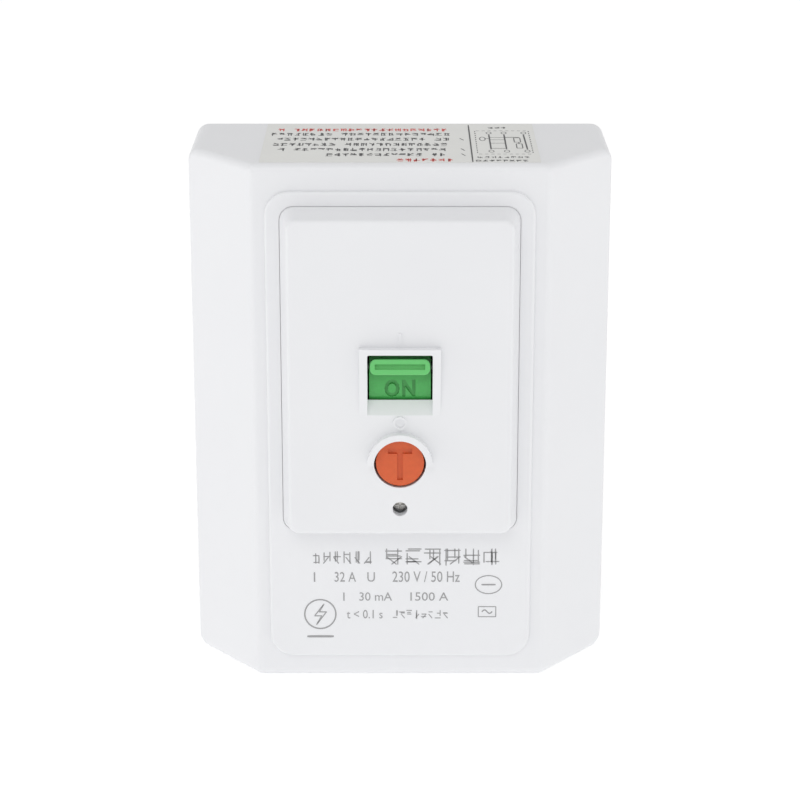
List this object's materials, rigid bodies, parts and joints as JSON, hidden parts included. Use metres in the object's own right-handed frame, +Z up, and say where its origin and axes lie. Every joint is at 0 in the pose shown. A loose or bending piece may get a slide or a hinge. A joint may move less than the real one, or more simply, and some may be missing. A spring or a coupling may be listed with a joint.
{
  "type": "residual current device",
  "caption": "Wall-mounted residual current device: white case with sloped sides, raised panel, green ON/OFF rocker, orange test button and printed rating plate.",
  "frame": {"origin": "middle of the back face, on the wall plane", "axes": "+Z up, the wall is the plane Y = 0, the front with the rocker faces -Y, +X to the viewer's right"},
  "size_m": [0.088, 0.0507, 0.1117],
  "materials": {
    "front_cover": "white moulded plastic",
    "face_panel": "white moulded plastic",
    "back_base": "white moulded plastic",
    "rating_label": "printed label film",
    "cover_screw": "plated steel",
    "base_insert": "brass",
    "cable_grommet": "grey rubber",
    "mechanism_frame": "grey moulded plastic",
    "frame_screws": "plated steel",
    "rocker_handle": "green plastic",
    "rocker_axle": "steel",
    "rocker_spring": "spring steel",
    "drive_link": "steel",
    "rocker_link_pin": "steel",
    "carrier_link_pin": "steel",
    "contact_carrier": "dark moulded plastic",
    "carrier_axle": "steel",
    "moving_contact_live": "copper alloy",
    "moving_contact_neutral": "copper alloy",
    "moving_tips": "silver alloy",
    "fixed_contact_live": "copper alloy",
    "fixed_contact_neutral": "copper alloy",
    "fixed_tips": "silver alloy",
    "arc_plates_live": "steel",
    "arc_plates_neutral": "steel",
    "contact_braid_live": "copper braid",
    "contact_braid_neutral": "copper braid",
    "load_terminal_neutral": "brass",
    "load_terminal_live": "brass",
    "line_terminal_neutral": "brass",
    "line_terminal_live": "brass",
    "terminal_screws": "plated steel",
    "line_lead_live": "red insulated copper wire",
    "line_lead_neutral": "blue insulated copper wire",
    "transformer_case": "black moulded plastic",
    "transformer_lid": "black moulded plastic",
    "transformer_core": "nickel iron strip core",
    "transformer_winding": "enamelled copper wire",
    "circuit_board": "green fibreglass board",
    "board_screws": "plated steel",
    "controller_chip": "black epoxy",
    "thyristor": "black epoxy",
    "board_capacitors": "film sleeve",
    "board_resistors": "coated ceramic",
    "board_diodes": "glass",
    "surge_absorber": "coated ceramic",
    "solenoid_yoke": "steel",
    "solenoid_bobbin": "natural nylon",
    "solenoid_coil": "enamelled copper wire",
    "solenoid_core": "soft iron",
    "solenoid_plunger": "soft iron",
    "plunger_spring": "spring steel",
    "trip_lever": "black moulded plastic",
    "lever_pin": "steel",
    "test_button": "orange plastic",
    "test_button_spring": "spring steel",
    "test_leaf": "phosphor bronze",
    "leaf_block": "grey moulded plastic",
    "test_rivet": "brass"
  },
  "bodies": {
    "case": {"front_cover": "front_cover", "face_panel": "face_panel", "back_base": "back_base", "rating_label": "rating_label", "cover_screw": "cover_screw", "base_insert": "base_insert", "cable_grommet": "cable_grommet", "mechanism_frame": "mechanism_frame", "frame_screws": "frame_screws", "rocker_axle": "rocker_axle", "rocker_spring": "rocker_spring", "carrier_axle": "carrier_axle", "fixed_contact_live": "fixed_contact_live", "fixed_contact_neutral": "fixed_contact_neutral", "fixed_tips": "fixed_tips", "arc_plates_live": "arc_plates_live", "arc_plates_neutral": "arc_plates_neutral", "contact_braid_live": "contact_braid_live", "contact_braid_neutral": "contact_braid_neutral", "load_terminal_neutral": "load_terminal_neutral", "load_terminal_live": "load_terminal_live", "line_terminal_neutral": "line_terminal_neutral", "line_terminal_live": "line_terminal_live", "terminal_screws": "terminal_screws", "line_lead_live": "line_lead_live", "line_lead_neutral": "line_lead_neutral", "transformer_case": "transformer_case", "transformer_lid": "transformer_lid", "transformer_core": "transformer_core", "transformer_winding": "transformer_winding", "circuit_board": "circuit_board", "board_screws": "board_screws", "controller_chip": "controller_chip", "thyristor": "thyristor", "board_capacitors": "board_capacitors", "board_resistors": "board_resistors", "board_diodes": "board_diodes", "surge_absorber": "surge_absorber", "solenoid_yoke": "solenoid_yoke", "solenoid_bobbin": "solenoid_bobbin", "solenoid_coil": "solenoid_coil", "solenoid_core": "solenoid_core", "lever_pin": "lever_pin", "leaf_block": "leaf_block", "test_rivet": "test_rivet", "test_button_spring": "test_button_spring", "plunger_spring": "plunger_spring"},
    "rocker": {"rocker_handle": "rocker_handle", "rocker_link_pin": "rocker_link_pin"},
    "link": {"drive_link": "drive_link"},
    "carrier": {"contact_carrier": "contact_carrier", "carrier_link_pin": "carrier_link_pin", "moving_contact_live": "moving_contact_live", "moving_contact_neutral": "moving_contact_neutral", "moving_tips": "moving_tips"},
    "plunger": {"solenoid_plunger": "solenoid_plunger"},
    "lever": {"trip_lever": "trip_lever"},
    "button": {"test_button": "test_button"},
    "leaf": {"test_leaf": "test_leaf"}
  },
  "joints": [
    {"name": "rocker_hinge", "type": "hinge", "parent": "case", "child": "rocker", "pos_m": [0, -0.0368, 0.012], "axis": [1, 0, 0], "range_deg": [0, 29]},
    {"name": "link_hinge", "type": "hinge", "parent": "rocker", "child": "link", "pos_m": [0, -0.03011, 0.00995], "axis": [1, 0, 0], "range_deg": [-32, 0]},
    {"name": "carrier_hinge", "type": "hinge", "parent": "case", "child": "carrier", "pos_m": [0, -0.011, 0.002], "axis": [1, 0, 0], "range_deg": [-18, 0]},
    {"name": "plunger_slide", "type": "slide", "parent": "case", "child": "plunger", "axis": [0, 0, 1], "range_m": [0, 0.0022], "stiffness_N_per_m": 200, "springref_m": -0.001, "deforming": ["plunger_spring"]},
    {"name": "lever_hinge", "type": "hinge", "parent": "case", "child": "lever", "pos_m": [0.01495, -0.02, 0.0305], "axis": [1, 0, 0], "range_deg": [0, 13.2]},
    {"name": "button_slide", "type": "slide", "parent": "case", "child": "button", "axis": [0, 1, 0], "range_m": [0, 0.0018], "stiffness_N_per_m": 300, "springref_m": -0.001, "deforming": ["test_button_spring"]},
    {"name": "leaf_hinge", "type": "hinge", "parent": "case", "child": "leaf", "pos_m": [-0.007, -0.0343, -0.0053], "axis": [0, 0, 1], "range_deg": [0, 14.2]}
  ],
  "couplings": [
    {"joint": "carrier_hinge", "follows": "rocker_hinge", "ratio": -0.6068},
    {"joint": "link_hinge", "follows": "rocker_hinge", "ratio": -1.0959},
    {"joint": "lever_hinge", "follows": "plunger_slide", "rad_per_m": 103.1},
    {"joint": "leaf_hinge", "follows": "button_slide", "rad_per_m": 135.7}
  ]
}
